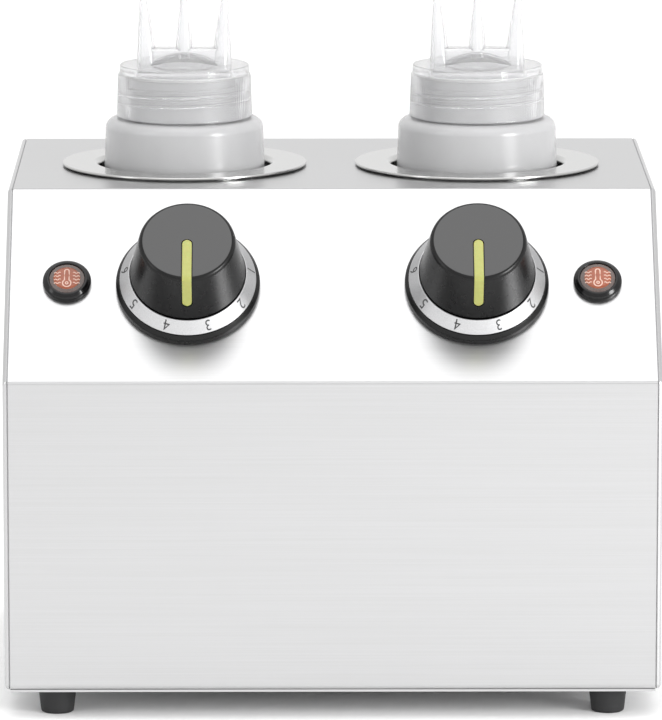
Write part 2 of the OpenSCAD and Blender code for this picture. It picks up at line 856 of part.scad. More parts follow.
module cap(side) {
    flare = (nozzle_base_r - nozzle_tip_r) / nozzle_h;
    length = nozzle_h + nozzle_root;
    root_r = nozzle_tip_r + flare * length;
    dome_ball = (dome_r * dome_r + dome_h * dome_h) / (2 * dome_h);
    manifold_l = 2 * (nozzle_pitch - 1.2);
    color(clear_plastic, 0.7) centred() on_well(side) {
        difference() {
            union() {
                translate([0, 0, cap_z])
                    cylinder(r1 = cap_d / 2, r2 = cap_d / 2 - 0.7, h = cap_step_z - cap_z);
                translate([0, 0, cap_step_z - eps])
                    cylinder(r1 = cap_top_d / 2 + 0.2, r2 = cap_top_d / 2, h = cap_top_z - cap_step_z);
                intersection() {
                    translate([0, 0, cap_top_z + dome_h - dome_ball]) sphere(dome_ball);
                    translate([0, 0, cap_top_z - 0.5]) cylinder(r = dome_r, h = 20);
                }
                translate([-manifold_l / 2, -manifold_w / 2, cap_top_z])
                    cube([manifold_l, manifold_w, manifold_z - cap_top_z]);
                for (i = [-1, 0, 1]) at_nozzle(i) cylinder(r1 = root_r, r2 = nozzle_tip_r, h = length);
            }
            translate([0, 0, cap_z - 1]) cylinder(r = cap_inner_r, h = cap_roof_z - cap_z + 1);
            translate([-manifold_l / 2, -2, cap_roof_z - 1])
                cube([manifold_l, 4, manifold_z - cap_roof_z - 1.2]);
            for (i = [-1, 0, 1]) at_nozzle(i) translate([0, 0, -1])
                cylinder(r1 = root_r - 1.4, r2 = nozzle_tip_r - 0.7, h = length + 2);
        }
        thread(cap_inner_r + 0.2, cap_inner_r - thread_h, thread_z - thread_pitch / 2);
    }
}

module cap_left() { cap(-1); }
module cap_right() { cap(1); }

front_shell();
side_panel_left();
side_panel_right();
rear_panel();
rear_screws();
base_plate();
base_screws();
foot_front_left();
foot_front_right();
foot_rear_left();
foot_rear_right();
foot_screws();
foot_nuts();
well_left();
well_right();
heater_left();
heater_right();
heater_screws_left();
heater_screws_right();
thermostat_left();
thermostat_right();
thermostat_screws();
sensor_left();
sensor_right();
skirt_left();
skirt_right();
dial_left();
dial_right();
spindle_left();
spindle_right();
knob_left();
knob_right();
pointer_left();
pointer_right();
lamp_bezel_left();
lamp_bezel_right();
lamp_lens_left();
lamp_lens_right();
lamp_body_left();
lamp_body_right();
lamp_nut_left();
lamp_nut_right();
gland_body();
gland_cap();
gland_locknut();
terminal_block();
terminal_screws();
earth_stud();
wiring_left();
wiring_right();
bottle_left();
bottle_right();
seal_left();
seal_right();
cap_left();
cap_right();
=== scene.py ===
"""Looks of a two-bottle heated sauce dispenser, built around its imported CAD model.

Shapes are drawn in millimetres and turned to metres where a piece is made.
"""

import json
import math

import bmesh
import bpy
from mathutils import Matrix, Vector


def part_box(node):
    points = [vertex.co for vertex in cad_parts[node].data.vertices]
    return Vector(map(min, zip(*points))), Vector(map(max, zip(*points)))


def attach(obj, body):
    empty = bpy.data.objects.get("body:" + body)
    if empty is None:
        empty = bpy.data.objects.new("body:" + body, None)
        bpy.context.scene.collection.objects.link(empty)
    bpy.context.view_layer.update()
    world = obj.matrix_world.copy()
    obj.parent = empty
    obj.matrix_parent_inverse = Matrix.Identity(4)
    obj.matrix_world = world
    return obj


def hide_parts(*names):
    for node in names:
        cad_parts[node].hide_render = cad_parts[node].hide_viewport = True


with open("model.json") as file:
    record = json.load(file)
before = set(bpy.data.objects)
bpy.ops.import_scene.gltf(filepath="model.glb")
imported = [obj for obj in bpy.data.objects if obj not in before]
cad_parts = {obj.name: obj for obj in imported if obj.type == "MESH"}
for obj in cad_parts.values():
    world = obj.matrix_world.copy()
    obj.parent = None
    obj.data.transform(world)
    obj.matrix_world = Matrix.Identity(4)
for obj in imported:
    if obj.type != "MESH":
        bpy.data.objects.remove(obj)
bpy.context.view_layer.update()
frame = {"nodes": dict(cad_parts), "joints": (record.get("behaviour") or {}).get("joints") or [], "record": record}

MM = 0.001
SIDES = {"left": -1, "right": 1}


# ---- Places read from the frame, in millimetres ----


def box_mm(node):
    """Lowest and highest corner of a CAD node."""
    low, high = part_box(node)
    return low / MM, high / MM


def joint_anchor(name):
    """The point a joint turns about, and its axis."""
    joint = next(j for j in frame["joints"] if j["name"] == name)
    return Vector(joint["pos_m"]) / MM, Vector(joint["axis"])


shell_low, shell_high = box_mm("front_shell")
FRONT_Y = shell_low.y
BASE_Z = shell_low.z
TOP_Z = shell_high.z
SHELL_REAR_Y = shell_high.y
SEAM_X = shell_high.x + 0.1
HALF_WIDTH = box_mm("side_panel_right")[1].x

knob_point, turn_axis = joint_anchor("knob_right_turn")
OUT_OF_PANEL = -turn_axis.normalized()
UP_PANEL = Vector((1, 0, 0)).cross(OUT_OF_PANEL) * -1
panel_rise_per_depth = UP_PANEL.z / UP_PANEL.y
BEND_Z = knob_point.z - (knob_point.y - FRONT_Y) * panel_rise_per_depth
PANEL_TOP_Y = knob_point.y + (TOP_Z - knob_point.z) / panel_rise_per_depth

well_low, well_high = box_mm("well_right")
WELL = Vector(((well_low.x + well_high.x) / 2, (well_low.y + well_high.y) / 2, 0))
FLANGE_R = (well_high.x - well_low.x) / 2
bottle_low, bottle_high = box_mm("bottle_right")
BOTTLE_R = (bottle_high.x - bottle_low.x) / 2
cap_low, cap_high = box_mm("cap_right")
CAP_R = (cap_high.x - cap_low.x) / 2
bezel_low, bezel_high = box_mm("lamp_bezel_right")
LAMP_X = (bezel_low.x + bezel_high.x) / 2
LAMP_UP = 1.5  # how far the lamps' middles stand above the knobs', up the panel
SEAL_Z = box_mm("seal_right")[1].z
RIM_Z = bottle_high.z
NECK_H = 18
SHOULDER_Z = RIM_Z - NECK_H


def on_panel(x):
    """Stands a shape on the control panel: +Z out of it, +Y up its slope."""
    turn = Matrix((Vector((1, 0, 0)), UP_PANEL, OUT_OF_PANEL)).transposed().to_4x4()
    return Matrix.Translation((x, knob_point.y, knob_point.z)) @ turn


def on_lamp(side):
    """Stands a shape on the control panel at a lamp."""
    return on_panel(side * LAMP_X) @ Matrix.Translation((0, LAMP_UP, 0))


def on_well(side):
    """Stands a shape on a well's axis."""
    return Matrix.Translation((side * WELL.x, WELL.y, 0))


# ---- Shapes: a shape is its points and its faces ----


def rounded(corners, closed=False, steps=6):
    """Points of a line through corners (x, y, radius), each rounded to its radius."""
    points = []
    last = len(corners) - 1
    for i, (x, y, radius) in enumerate(corners):
        if radius == 0 or (not closed and i in (0, last)):
            points.append((x, y))
            continue
        here = Vector((x, y))
        before = Vector(corners[i - 1][:2]) - here
        after = Vector(corners[(i + 1) % len(corners)][:2]) - here
        half = before.angle(after) / 2
        reach = min(radius / math.tan(half), 0.49 * before.length, 0.49 * after.length)
        middle = (before.normalized() + after.normalized()).normalized()
        centre = here + middle * reach / math.cos(half)
        start = here + before.normalized() * reach - centre
        end = here + after.normalized() * reach - centre
        angle = start.angle(end)
        for k in range(steps + 1):
            share = k / steps
            spoke = start * math.sin((1 - share) * angle) + end * math.sin(share * angle)
            point = centre + spoke / math.sin(angle)
            points.append((point.x, point.y))
    return points


def drawn_in(corners, amount, closed):
    """The same corners moved to the right of their line by amount, mitred, with smaller radii."""
    shifted = []
    last = len(corners) - 1
    for i, (x, y, radius) in enumerate(corners):
        here = Vector((x, y))
        normals = []
        if closed or i > 0:
            way = here - Vector(corners[i - 1][:2])
            normals.append(Vector((way.y, -way.x)).normalized())
        if closed or i < last:
            way = Vector(corners[(i + 1) % len(corners)][:2]) - here
            normals.append(Vector((way.y, -way.x)).normalized())
        across = normals[0] + normals[-1]
        here += across * amount / (1 + normals[0].dot(normals[-1]))
        shifted.append((here.x, here.y, max(radius - amount, 0.05) if radius else 0))
    return shifted


def lathe(profile, steps=144, closed=False):
    """Turns an (r, h) profile round +Z. A closed profile makes a ring."""
    points = []
    rings = []
    for r, h in profile:
        if r < 1e-6:
            rings.append([len(points)] * steps)
            points.append(Vector((0, 0, h)))
            continue
        rings.append(list(range(len(points), len(points) + steps)))
        for k in range(steps):
            angle = 2 * math.pi * k / steps
            points.append(Vector((r * math.cos(angle), r * math.sin(angle), h)))
    if closed:
        rings.append(rings[0])
    return points, bridged(rings, wrap=True)


def bridged(rings, wrap):
    """Faces between neighbouring rings of point numbers. A repeated point makes a triangle."""
    faces = []
    for low, high in zip(rings, rings[1:]):
        count = len(low)
        for k in range(count if wrap else count - 1):
            n = (k + 1) % count
            corner = list(dict.fromkeys((low[k], low[n], high[n], high[k])))
            if len(corner) > 2:
                faces.append(tuple(corner))
    return faces


def loft(sections):
    """A solid through closed rings of points, with flat ends."""
    count = len(sections[0])
    points = [Vector(p) for section in sections for p in section]
    rings = [range(i * count, (i + 1) * count) for i in range(len(sections))]
    faces = bridged([list(ring) for ring in rings], wrap=True)
    return points, faces + [tuple(rings[0]), tuple(rings[-1])]


def joined(*shapes):
    """Several shapes as one."""
    points, faces = [], []
    for some_points, some_faces in shapes:
        start = len(points)
        points += some_points
        faces += [tuple(start + i for i in face) for face in some_faces]
    return points, faces


def moved(shape, place):
    """A shape moved by a matrix."""
    return [place @ p for p in shape[0]], shape[1]


def tube(path, radius, flat=1.0, closed=False, sides=8):
    """A round bead along a path, flattened in height by flat."""
    sections = []
    last = len(path) - 1
    for i, point in enumerate(path):
        after = path[(i + 1) % len(path)] if closed else path[min(i + 1, last)]
        before = path[i - 1] if closed else path[max(i - 1, 0)]
        way = (Vector(after) - Vector(before)).normalized()
        across = way.cross(Vector((0, 0, 1))).normalized()
        up = across.cross(way) * flat
        ring = []
        for k in range(sides):
            angle = 2 * math.pi * k / sides
            spoke = across * math.cos(angle) + up * math.sin(angle)
            ring.append(Vector(point) + spoke * radius)
        sections.append(ring)
    if not closed:
        return loft(sections)
    points = [p for section in sections for p in section]
    rings = [list(range(i * sides, (i + 1) * sides)) for i in range(len(sections))]
    return points, bridged(rings + [rings[0]], wrap=True)


THREAD_STEPS = 48  # per turn
THREAD_FADE = 6  # steps over which an end tapers away


def thread(root_r, crest_r, z, pitch, turns, half_root=0.8, half_crest=0.4):
    """A screw thread's ridge, which tapers away at both ends."""
    steps = int(THREAD_STEPS * turns)
    sections = []
    for i in range(steps + 1):
        angle = 2 * math.pi * turns * i / steps
        height = z + pitch * turns * i / steps
        fade = min(1, min(i, steps - i) / THREAD_FADE + 0.1)
        tip = root_r + (crest_r - root_r) * fade
        section = (
            (root_r, -half_root),
            (tip, -half_crest),
            (tip, half_crest),
            (root_r, half_root),
        )
        sections.append(
            [(r * math.cos(angle), r * math.sin(angle), height + h) for r, h in section]
        )
    return loft(sections)


# ---- Materials ----


def srgb(code):
    """A hex colour such as d0d0d0 as linear red, green, blue and alpha."""
    values = [int(code[i : i + 2], 16) / 255 for i in (0, 2, 4)]
    linear = [v / 12.92 if v <= 0.04045 else ((v + 0.055) / 1.055) ** 2.4 for v in values]
    return (*linear, 1)


def add(tree, kind, inputs=None, **settings):
    """Adds one shader node. An input is a value, or the socket that feeds it."""
    node = tree.nodes.new("ShaderNode" + kind)
    for name, value in settings.items():
        setattr(node, name, value)
    for name, value in (inputs or {}).items():
        if isinstance(value, bpy.types.NodeSocket):
            tree.links.new(value, node.inputs[name])
        else:
            node.inputs[name].default_value = value
    return node


NOISE_RANGE = (0.15, 0.85)  # what a noise texture really reaches
NOISE_DETAIL = 3.0


def finish(name, colours, roughness, grain, bump, shader=None):
    """A material whose grain varies its colour, its roughness and its height.

    colours and roughness are (low, high) pairs, grain is the size of one mark in mm
    along X, Y and Z, and bump is its height in mm.
    """
    material = bpy.data.materials.new(name)
    material.use_nodes = True
    tree = material.node_tree
    tree.nodes.clear()
    place = add(tree, "TexCoord").outputs["Object"]
    scale = [1 / (MM * size) for size in grain]
    stretched = add(tree, "Mapping", {"Vector": place, "Scale": scale}).outputs["Vector"]
    noise = add(tree, "TexNoise", {"Vector": stretched, "Scale": 1.0, "Detail": NOISE_DETAIL})
    seen = {"Value": noise.outputs["Fac"], "From Min": NOISE_RANGE[0], "From Max": NOISE_RANGE[1]}
    share = add(tree, "MapRange", seen).outputs["Result"]
    low, high = (srgb(code) for code in colours)
    colour = add(tree, "Mix", {0: share, 6: low, 7: high}, data_type="RGBA")
    reach = {"Value": share, "To Min": roughness[0], "To Max": roughness[1]}
    rough = add(tree, "MapRange", reach)
    height = add(tree, "Bump", {"Height": share, "Distance": bump * MM, "Strength": 1.0})
    sockets = {
        "Base Color": colour.outputs[2],
        "Roughness": rough.outputs["Result"],
        "Normal": height.outputs["Normal"],
        **(shader or {}),
    }
    surface = add(tree, "BsdfPrincipled", sockets).outputs["BSDF"]
    add(tree, "OutputMaterial", {"Surface": surface})
    return material


METAL = {"Metallic": 1.0}
SHEET_COLOURS = ("bcbcbc", "c4c4c5")
SHEET_ROUGHNESS = (0.3, 0.34)
SHEET_BUMP = 0.0006

# Stainless sheet, brushed with a belt: long fine scratches that soften each reflection.
# The real scratches are about 0.05 mm wide; they are drawn 0.45 mm wide so that they show.
SCRATCH_LONG = 90
SCRATCH_WIDE = 0.45
brushed_across = finish(
    "brushed_stainless_across",
    SHEET_COLOURS,
    SHEET_ROUGHNESS,
    (SCRATCH_LONG, SCRATCH_WIDE, SCRATCH_WIDE),
    SHEET_BUMP,
    METAL,
)
brushed_depthwise = finish(
    "brushed_stainless_depthwise",
    SHEET_COLOURS,
    SHEET_ROUGHNESS,
    (SCRATCH_WIDE, SCRATCH_LONG, SCRATCH_WIDE),
    SHEET_BUMP,
    METAL,
)
# Pressed and polished stainless: sharper reflections than the sheet's, with a faint orange peel
polished_steel = finish(
    "polished_stainless", ("babab9", "c1c1c0"), (0.16, 0.22), (3, 3, 3), 0.001, METAL
)
# Zinc-plated steel screws: bright, slightly blue, with a fine bloom
zinc_plate = finish(
    "zinc_plated_steel", ("a9adb2", "c3c7cb"), (0.25, 0.42), (0.6, 0.6, 0.6), 0.004, METAL
)
# Band heater in an oxidised steel sheath: dull, mottled by heat
heater_sheath = finish(
    "heat_dulled_steel", ("7d7872", "a39d95"), (0.4, 0.6), (6, 6, 2), 0.02, METAL
)
# Thermostat case of tin-plated steel: grey and dull, with the tin's faint blotches
tin_plate = finish("tin_plated_steel", ("a5a6a6", "bcbdbd"), (0.3, 0.45), (2, 2, 2), 0.005, METAL)
# Drawn copper capillary and bulb: reddish, slightly tarnished, with marks along the draw
drawn_copper = finish("drawn_copper", ("9a5f42", "c08060"), (0.25, 0.45), (1, 1, 6), 0.004, METAL)
# Turned brass screws and stud: yellow, with fine rings from the lathe
turned_brass = finish(
    "turned_brass", ("a8873f", "c9a85a"), (0.22, 0.36), (2, 2, 0.3), 0.004, METAL
)
# Dial ring of anodised aluminium: silvery and satin, with a fine etched grain
anodised_ring = finish(
    "satin_anodised_aluminium",
    ("b2b2b3", "cececf"),
    (0.34, 0.46),
    (0.45, 0.45, 0.45),
    0.006,
    METAL,
)
# Moulded black phenolic: semi-gloss, with the slight swirl of its filler
phenolic = finish(
    "moulded_black_phenolic",
    ("070707", "0b0b0c"),
    (0.26, 0.3),
    (2.5, 2.5, 2.5),
    0.0003,
    {"IOR": 1.6, "Specular IOR Level": 0.2},
)
# The same phenolic where the tool was lightly blasted: a satin top face, whose colour is also painted lighter than
# the sides' as painted light from above
satin_phenolic_painted_light = finish(
    "satin_black_phenolic_painted_light",
    ("252526", "292929"),
    (0.34, 0.4),
    (0.4, 0.4, 0.4),
    0.0008,
    {"IOR": 1.6, "Specular IOR Level": 0.55},
)
# Lamp bezel of glossy black ABS: small sharp highlights, with a faint ripple from the mould
gloss_abs = finish(
    "gloss_black_abs",
    ("070708", "0c0c0d"),
    (0.12, 0.18),
    (2, 2, 2),
    0.001,
    {"IOR": 1.54, "Specular IOR Level": 0.3},
)
# Moulded rubber feet: matt, dark grey, slightly grained
rubber = finish("moulded_rubber", ("1a1a1b", "252526"), (0.55, 0.75), (0.5, 0.5, 0.5), 0.02)
# Cable gland of moulded black nylon: satin, with a fine spark-eroded grain
nylon = finish("moulded_black_nylon", ("1b1b1c", "28282a"), (0.4, 0.55), (0.8, 0.8, 0.8), 0.01)
# Pointer: a lime acrylic strip pressed into its slot, satin and a little translucent
lime_acrylic = finish(
    "lime_acrylic",
    ("979951", "a1a35b"),
    (0.28, 0.4),
    (1.5, 1.5, 1.5),
    0.003,
    {"Subsurface Weight": 0.2, "Subsurface Scale": 0.001, "IOR": 1.49},
)
# Screen-printed ink of the dial numbers: flat, nearly black, slightly uneven
black_ink = finish("screen_printed_ink", ("2a2a2b", "3a3a3b"), (0.45, 0.6), (0.3, 0.3, 0.3), 0.002)
# Neon lamp lens of smoky polycarbonate: a dark, clear rim round the amber filter
smoked_lens = finish(
    "smoked_polycarbonate",
    ("4c3a34", "5f4c46"),
    (0.1, 0.2),
    (1.5, 1.5, 1.5),
    0.003,
    {"Transmission Weight": 0.35, "IOR": 1.58},
)
# Lamp filter of amber polycarbonate: brownish orange while the lamp is off, with soft streaks
amber_filter = finish(
    "amber_polycarbonate",
    ("80381c", "8f4826"),
    (0.15, 0.25),
    (2.5, 1.2, 1.2),
    0.004,
    {"Subsurface Weight": 0.2, "Subsurface Scale": 0.001, "IOR": 1.58},
)
# Pad-printed ink of the lamp's mark: pale, thin enough to take some of the amber
lens_print = finish("pale_pad_print", ("bf9a8a", "cdaea0"), (0.4, 0.5), (0.5, 0.5, 0.5), 0.002)
# Lamp holder of moulded heat-resistant plastic: ivory and satin
lamp_holder = finish("moulded_lamp_holder", ("c9c7bd", "d8d6cc"), (0.4, 0.5), (1, 1, 1), 0.004)
# Ceramic terminal block, unglazed: chalky, cream, with a fine grit
ceramic = finish("unglazed_ceramic", ("d6d0bf", "e6e0d0"), (0.6, 0.75), (0.7, 0.7, 0.7), 0.02)
# Silicone-sleeved wire, faintly braided
silicone = finish("silicone_sleeve", ("cfcfca", "e3e3df"), (0.5, 0.65), (0.8, 0.8, 0.8), 0.02)
# Closed-cell foam liner of the caps: matt white, finely pitted
foam = finish("closed_cell_foam", ("dededc", "efefed"), (0.7, 0.85), (0.6, 0.6, 0.6), 0.05)


def milky(name, colours, transmission, roughness, scatter):
    """Natural polyethylene: milky, waxy and see-through at the edges, with faint flow marks."""
    shader = {
        "Transmission Weight": transmission,
        "Subsurface Weight": scatter,
        "Subsurface Radius": (0.004, 0.004, 0.004),
        "Subsurface Scale": 1.0,
        "IOR": 1.5,
    }
    return finish(name, colours, roughness, (14, 14, 20), 0.004, shader)


# Blow-moulded squeeze bottles, and their injection-moulded caps, which are glossier
bottle_plastic = milky("blow_moulded_ldpe", ("d0d0d1", "d8d8d9"), 0.46, (0.2, 0.26), 0.25)
cap_plastic = milky("injection_moulded_ldpe", ("f8f8f9", "fcfcfd"), 0.82, (0.08, 0.12), 0.12)

SLOT_MATERIALS = {
    "brushed_stainless": brushed_across,
    "spun_stainless": polished_steel,
    "zinc_steel": zinc_plate,
    "heater_sheath": heater_sheath,
    "thermostat_case": tin_plate,
    "foot_rubber": rubber,
    "sensor_copper": drawn_copper,
    "black_plastic": phenolic,
    "dial_aluminium": anodised_ring,
    "pointer_lime": lime_acrylic,
    "lamp_amber": smoked_lens,
    "lamp_holder": lamp_holder,
    "gland_nylon": nylon,
    "terminal_plastic": ceramic,
    "terminal_brass": turned_brass,
    "wire_silicone": silicone,
    "bottle_plastic": bottle_plastic,
    "seal_foam": foam,
    "cap_plastic": cap_plastic,
}

for part in frame["record"]["subparts"]:
    mesh = frame["nodes"][part["node"]].data
    mesh.materials.clear()
    mesh.materials.append(SLOT_MATERIALS[part["material_slot"]])


# ---- Making pieces ----


def new_object(name, shape, material=None):
    """A shape in millimetres as a mesh object in metres, with its faces turned outward."""
    mesh = bpy.data.meshes.new(name)
    mesh.from_pydata([MM * p for p in shape[0]], [], shape[1])
    work = bmesh.new()
    work.from_mesh(mesh)
    bmesh.ops.recalc_face_normals(work, faces=work.faces)
    work.to_mesh(mesh)
    work.free()
    if material:
        mesh.materials.append(material)
    obj = bpy.data.objects.new(name, mesh)
    bpy.context.scene.collection.objects.link(obj)
    return obj


def combine(obj, shape, operation):
    """Takes a shape away from an object, or melts it into one, and keeps a clean solid."""
    tool = new_object("combining_tool", shape)
    cut = obj.modifiers.new("cut", "BOOLEAN")
    cut.operation = operation
    cut.solver = "EXACT"
    cut.object = tool
    made = bpy.data.meshes.new_from_object(
        obj.evaluated_get(bpy.context.evaluated_depsgraph_get())
    )
    obj.modifiers.clear()
    obj.data = made
    bpy.data.objects.remove(tool)


def melted(shape, additions=(), cutters=()):
    """One solid shape: the additions are melted in, then the cutters are taken away."""
    obj = new_object("melting_pot", shape)
    for addition in additions:
        combine(obj, addition, "UNION")
    for cutter in cutters:
        combine(obj, cutter, "DIFFERENCE")
    points = [v.co / MM for v in obj.data.vertices]
    faces = [tuple(face.vertices) for face in obj.data.polygons]
    bpy.data.objects.remove(obj)
    return points, faces


def piece(name, shape, material, body, nodes=(), cutter=None, crease=32):
    """A finished piece that rides on a body and stands for its CAD nodes."""
    obj = new_object(name, shape, material)
    if cutter:
        combine(obj, cutter, "DIFFERENCE")
    obj.data.shade_smooth()
    obj.data.set_sharp_from_angle(angle=math.radians(crease))
    even = obj.modifiers.new("even_normals", "WEIGHTED_NORMAL")
    even.keep_sharp = True
    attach(obj, body)
    if nodes:
        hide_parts(*nodes)
    return obj


# ---- Housing ----

SHEET = 1.0
BEND_R = 2.5
EDGE_R = HALF_WIDTH - SEAM_X
GROOVE = 0.35
LIP = 12  # turned back under the front
REAR_LIP = 16  # turned down at the rear
WELL_HOLE_R = 40.5
SPINDLE_HOLE_R = 5
LAMP_HOLE_R = 6.5

fold = [
    (FRONT_Y + LIP, BASE_Z, 0),
    (FRONT_Y, BASE_Z, BEND_R),
    (FRONT_Y, BEND_Z, BEND_R),
    (PANEL_TOP_Y, TOP_Z, BEND_R),
    (SHELL_REAR_Y, TOP_Z, BEND_R),
    (SHELL_REAR_Y, TOP_Z - REAR_LIP, 0),
]


def fold_section(x, groove):
    """The folded sheet's section at x, its outer side drawn in by groove."""
    outer = rounded(drawn_in(fold, groove, False) if groove else fold, steps=10)
    inner = rounded(drawn_in(fold, SHEET, False), steps=10)
    return [(x, y, z) for y, z in outer + inner[::-1]]


def disc(radius, low, high):
    """A plain round block, used for cutting holes."""
    return lathe([(0, low), (radius, low), (radius, high), (0, high)], steps=96)


shell_ends = (
    (-SEAM_X + 0.1, GROOVE),
    (-SEAM_X + 0.4, 0),
    (SEAM_X - 0.4, 0),
    (SEAM_X - 0.1, GROOVE),
)
shell_holes = []
for side in SIDES.values():
    shell_holes.append(moved(disc(WELL_HOLE_R, TOP_Z - 5, TOP_Z + 5), on_well(side)))
    shell_holes.append(moved(disc(SPINDLE_HOLE_R, -5, 5), on_panel(side * knob_point.x)))
    shell_holes.append(moved(disc(LAMP_HOLE_R, -5, 5), on_lamp(side)))
piece(
    "folded_shell",
    loft([fold_section(x, groove) for x, groove in shell_ends]),
    brushed_across,
    "housing",
    ("front_shell",),
    cutter=joined(*shell_holes),
)

side_outline = [
    (FRONT_Y, BASE_Z, BEND_R),
    (FRONT_Y, BEND_Z, BEND_R),
    (PANEL_TOP_Y, TOP_Z, BEND_R),
    (SHELL_REAR_Y, TOP_Z, BEND_R),
    (SHELL_REAR_Y, BASE_Z, BEND_R),
]


def side_section(x, inset):
    """The side panel's outline at x, drawn in by inset."""
    corners = drawn_in(side_outline, inset, True) if inset else side_outline
    return [(x, y, z) for y, z in rounded(corners, closed=True, steps=10)]


FLANGE_IN = 10  # how far the panel's flange reaches under the shell
FLANGE_OUTER = 1.1
FLANGE_INNER = 2.1

# From the inner face round the flange, over the groove and the rounded edge
side_steps = [
    (HALF_WIDTH - SHEET, 3.2),
    (HALF_WIDTH - SHEET - 1, FLANGE_INNER),
    (SEAM_X - FLANGE_IN, FLANGE_INNER),
    (SEAM_X - FLANGE_IN, FLANGE_OUTER),
    (SEAM_X, FLANGE_OUTER),
    (SEAM_X, GROOVE),
    (SEAM_X + 0.3, 0.02),
]
EDGE_STEPS = 8
for k in range(1, EDGE_STEPS + 1):
    angle = math.pi / 2 * k / EDGE_STEPS
    side_steps.append((SEAM_X + EDGE_R * math.sin(angle), EDGE_R * (1 - math.cos(angle))))
for name, side in SIDES.items():
    piece(
        f"side_cover_{name}",
        loft([side_section(side * x, inset) for x, inset in side_steps]),
        brushed_depthwise,
        "housing",
        (f"side_panel_{name}",),
    )

# ---- Feet ----

FOOT_TREAD_R = 6.85
FOOT_BORE_R = 2.1  # for the screw
FOOT_RECESS_R = 4.2  # for the screw's head
FOOT_RECESS_H = 5

for corner in ("front_left", "front_right", "rear_left", "rear_right"):
    low, high = box_mm(f"foot_{corner}")
    foot_profile = [
        (FOOT_RECESS_R, 0, 0.3),
        (FOOT_TREAD_R, 0, 1.0),
        ((high.x - low.x) / 2, high.z, 0.3),
        (FOOT_BORE_R, high.z, 0.1),
        (FOOT_BORE_R, FOOT_RECESS_H, 0.1),
        (FOOT_RECESS_R, FOOT_RECESS_H, 0.1),
    ]
    stand = Matrix.Translation(((low.x + high.x) / 2, (low.y + high.y) / 2, 0))
    piece(
        f"rubber_foot_{corner}",
        moved(lathe(rounded(foot_profile, closed=True), 64, closed=True), stand),
        rubber,
        "housing",
        (f"foot_{corner}",),
    )

# ---- Wells ----

WELL_R = 37.2
FLANGE_Z = well_high.z
FLOOR_Z = well_low.z
well_profile = [
    (0, FLOOR_Z + SHEET, 0),
    (WELL_R, FLOOR_Z + SHEET, 2),
    (WELL_R, FLANGE_Z, 2.5),
    (FLANGE_R, FLANGE_Z, 0.45),
    (FLANGE_R, FLANGE_Z - SHEET, 0.3),
    (WELL_R + SHEET, FLANGE_Z - SHEET, 1.5),
    (WELL_R + SHEET, FLOOR_Z, 2),
    (0, FLOOR_Z, 0),
]
# A ring under the flange, which holds its edge just off the housing's top
BEAD_INNER_R = WELL_R + 4.5
BEAD_OUTER_R = WELL_R + 7.5
bead_profile = [
    (BEAD_INNER_R, TOP_Z),
    (BEAD_OUTER_R, TOP_Z),
    (BEAD_OUTER_R, FLANGE_Z - SHEET),
    (BEAD_INNER_R, FLANGE_Z - SHEET),
]
for name, side in SIDES.items():
    well = joined(lathe(rounded(well_profile)), lathe(bead_profile, closed=True))
    piece(
        f"flanged_well_{name}",
        moved(well, on_well(side)),
        polished_steel,
        "housing",
        (f"well_{name}",),
    )

# ---- Dials and knobs ----

RING_LOW = Vector((28.75, 4.6))
RING_HIGH = Vector((24.65, 9.6))
KNOB_BASE_R = 24.2
KNOB_TOP_R = 19.7
KNOB_H = 32.3
KNOB_LOW = 10.0
RING_SHEET = 0.7
SKIRT_R = 30.25
SKIRT_BORE_R = 19.85
SKIRT_NECK_R = 22.8
SKIRT_H = 9.1

skirt_profile = [
    (SKIRT_BORE_R, 0, 0.1),
    (SKIRT_R, 0, 0.3),
    (SKIRT_R, 2.6, 1.4),
    (29.0, 4.2, 0.3),
    (28.2, 4.2, 0.1),
    (24.1, SKIRT_H, 0.2),
    (SKIRT_NECK_R, SKIRT_H, 0.2),
    (SKIRT_NECK_R, 2, 0.3),
    (SKIRT_BORE_R, 2, 0.1),
]
cone_way = (RING_HIGH - RING_LOW).normalized()
cone_out = Vector((cone_way.y, -cone_way.x))
ring_profile = [
    (*RING_LOW, 0.25),
    (*RING_HIGH, 0.25),
    (*(RING_HIGH - cone_out * RING_SHEET), 0.1),
    (*(RING_LOW - cone_out * RING_SHEET), 0.1),
]

# Where the numbers stand, in degrees from six o'clock towards three o'clock
NUMBERS = {"1": 96, "2": 57.5, "3": 19, "4": -19, "5": -57.5, "6": -96}
NUMBER_TALL = 4.7
NUMBER_NARROW = 0.86
INK_LIFT = 0.03


def letter_shape(text):
    """A number of the built-in typeface, one unit tall, centred, with a little thickness."""
    curve = bpy.data.curves.new("number", "FONT")
    curve.body = text
    curve.extrude = 0.01
    curve.resolution_u = 5
    holder = bpy.data.objects.new("number", curve)
    bpy.context.scene.collection.objects.link(holder)
    made = bpy.data.meshes.new_from_object(
        holder.evaluated_get(bpy.context.evaluated_depsgraph_get())
    )
    bpy.data.objects.remove(holder)
    points = [v.co.copy() for v in made.vertices]
    faces = [tuple(face.vertices) for face in made.polygons]
    low = Vector([min(p[i] for p in points) for i in range(3)])
    high = Vector([max(p[i] for p in points) for i in range(3)])
    tall = high.y - low.y
    return [(p - (low + high) / 2) / tall for p in points], faces


def number_on_ring(text, degrees):
    """A number bent onto the cone, its top pointing outward."""
    points, faces = letter_shape(text)
    middle = (RING_LOW + RING_HIGH) / 2
    bent = []
    for p in points:
        down = middle - cone_way * p.y * NUMBER_TALL + cone_out * (INK_LIFT + p.z)
        angle = math.radians(degrees) - p.x * NUMBER_TALL * NUMBER_NARROW / down.x
        bent.append(Vector((down.x * math.sin(angle), -down.x * math.cos(angle), down.y)))
    return bent, faces


